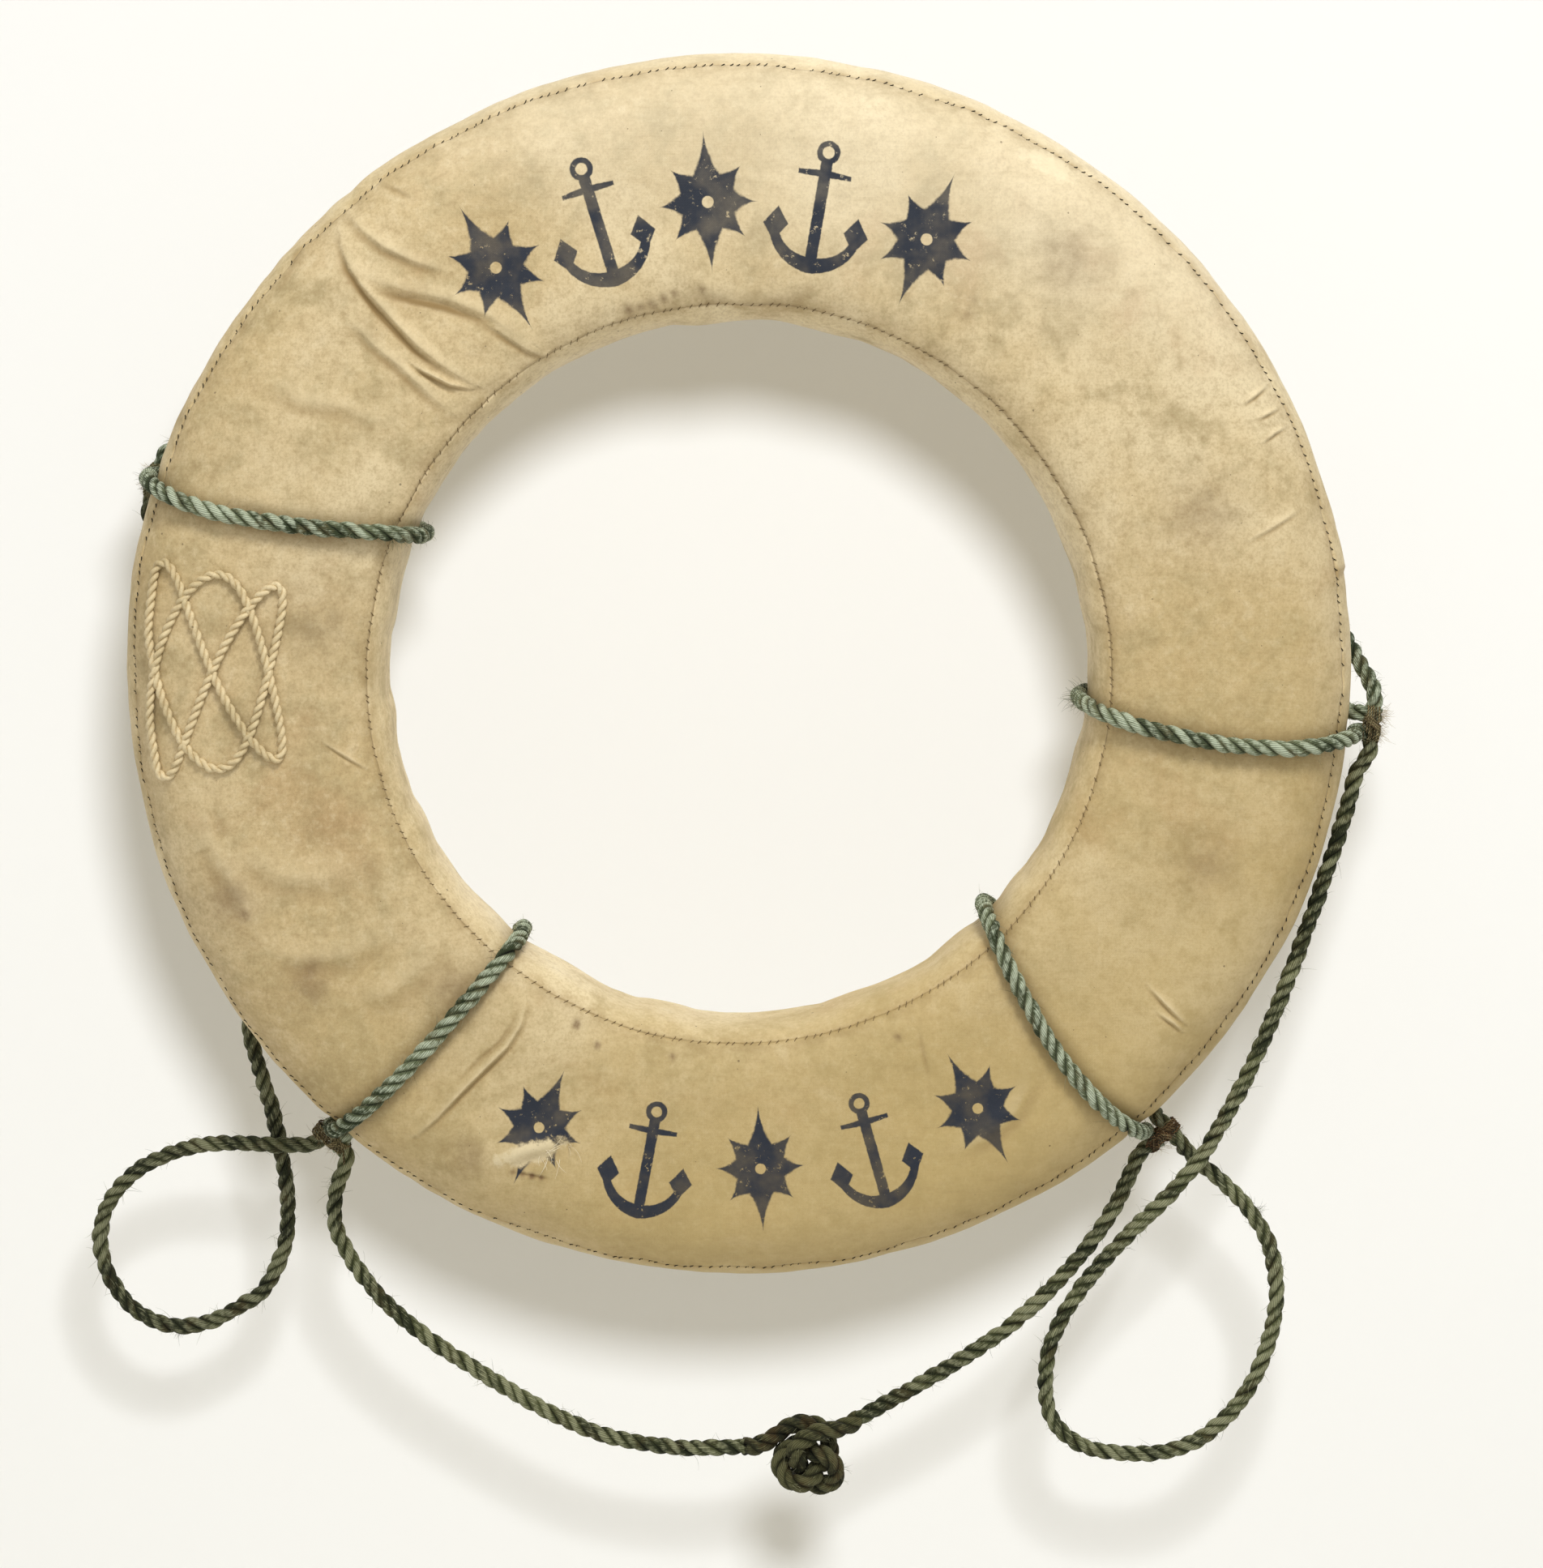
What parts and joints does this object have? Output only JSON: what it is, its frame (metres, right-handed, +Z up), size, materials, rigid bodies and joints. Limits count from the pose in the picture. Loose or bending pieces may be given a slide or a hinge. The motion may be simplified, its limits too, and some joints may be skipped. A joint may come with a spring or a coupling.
{
  "type": "life ring",
  "caption": "Ship's cork life ring with a sewn canvas cover, rope bands and a hemp grab line that hangs below it in loose bights with a knot. Hangs upright on a wall.",
  "frame": {"origin": "the top of the hole, on its mid-plane, where a peg or hook carries the ring", "axes": "+Z up, -Y out of the front face, +Y towards the wall, +X to the right as seen from the front"},
  "size_m": [0.8155, 0.1236, 0.9098],
  "materials": {
    "canvas": "aged cream oil paint over sewn cotton canvas, stained and scuffed, matte",
    "cork": "rasped natural cork",
    "treenail": "bare hardwood",
    "band_rope": "three-strand hemp, faded green, dry",
    "line_rope": "three-strand hemp, dark olive green, dry",
    "twine": "tarred hemp seizing twine"
  },
  "bodies": {
    "ring": {"cover_front": "canvas", "cover_back": "canvas", "cover_outer_band": "canvas", "cover_inner_band": "canvas", "cork_front_1": "cork", "cork_front_2": "cork", "cork_front_3": "cork", "cork_front_4": "cork", "cork_front_5": "cork", "cork_front_6": "cork", "cork_front_7": "cork", "cork_front_8": "cork", "cork_back_1": "cork", "cork_back_2": "cork", "cork_back_3": "cork", "cork_back_4": "cork", "cork_back_5": "cork", "cork_back_6": "cork", "cork_back_7": "cork", "cork_back_8": "cork", "treenail_01": "treenail", "treenail_02": "treenail", "treenail_03": "treenail", "treenail_04": "treenail", "treenail_05": "treenail", "treenail_06": "treenail", "treenail_07": "treenail", "treenail_08": "treenail", "treenail_09": "treenail", "treenail_10": "treenail", "treenail_11": "treenail", "treenail_12": "treenail", "treenail_13": "treenail", "treenail_14": "treenail", "treenail_15": "treenail", "treenail_16": "treenail", "band_upper_left": "band_rope", "band_right": "band_rope", "band_lower_left": "band_rope", "band_lower_right": "band_rope", "seizing_upper_left": "twine", "seizing_right": "twine", "seizing_lower_left": "twine", "seizing_lower_right": "twine", "grab_line_top": "line_rope", "grab_line_left_run": "line_rope"},
    "left_bight": {"grab_line_left_loop": "line_rope"},
    "bottom_bight": {"grab_line_bottom_left": "line_rope", "joining_knot": "line_rope", "grab_line_bottom_right": "line_rope"},
    "right_bight": {"grab_line_right": "line_rope"}
  },
  "joints": [
    {"name": "left_bight_swing", "type": "hinge", "parent": "ring", "child": "left_bight", "pos_m": [-0.31111, 0.02545, -0.44557], "axis": [0.4774, -0.0764, -0.8754], "range_deg": [-45, 45]},
    {"name": "bottom_bight_swing", "type": "hinge", "parent": "ring", "child": "bottom_bight", "pos_m": [-0.24463, 0.01664, -0.53041], "axis": [0.9994, -0.0334, 0.0098], "range_deg": [-70, 70]},
    {"name": "right_bight_swing", "type": "hinge", "parent": "ring", "child": "right_bight", "pos_m": [0.39428, 0, -0.27047], "axis": [-0.4271, 0, -0.9042], "range_deg": [-60, 60]}
  ]
}
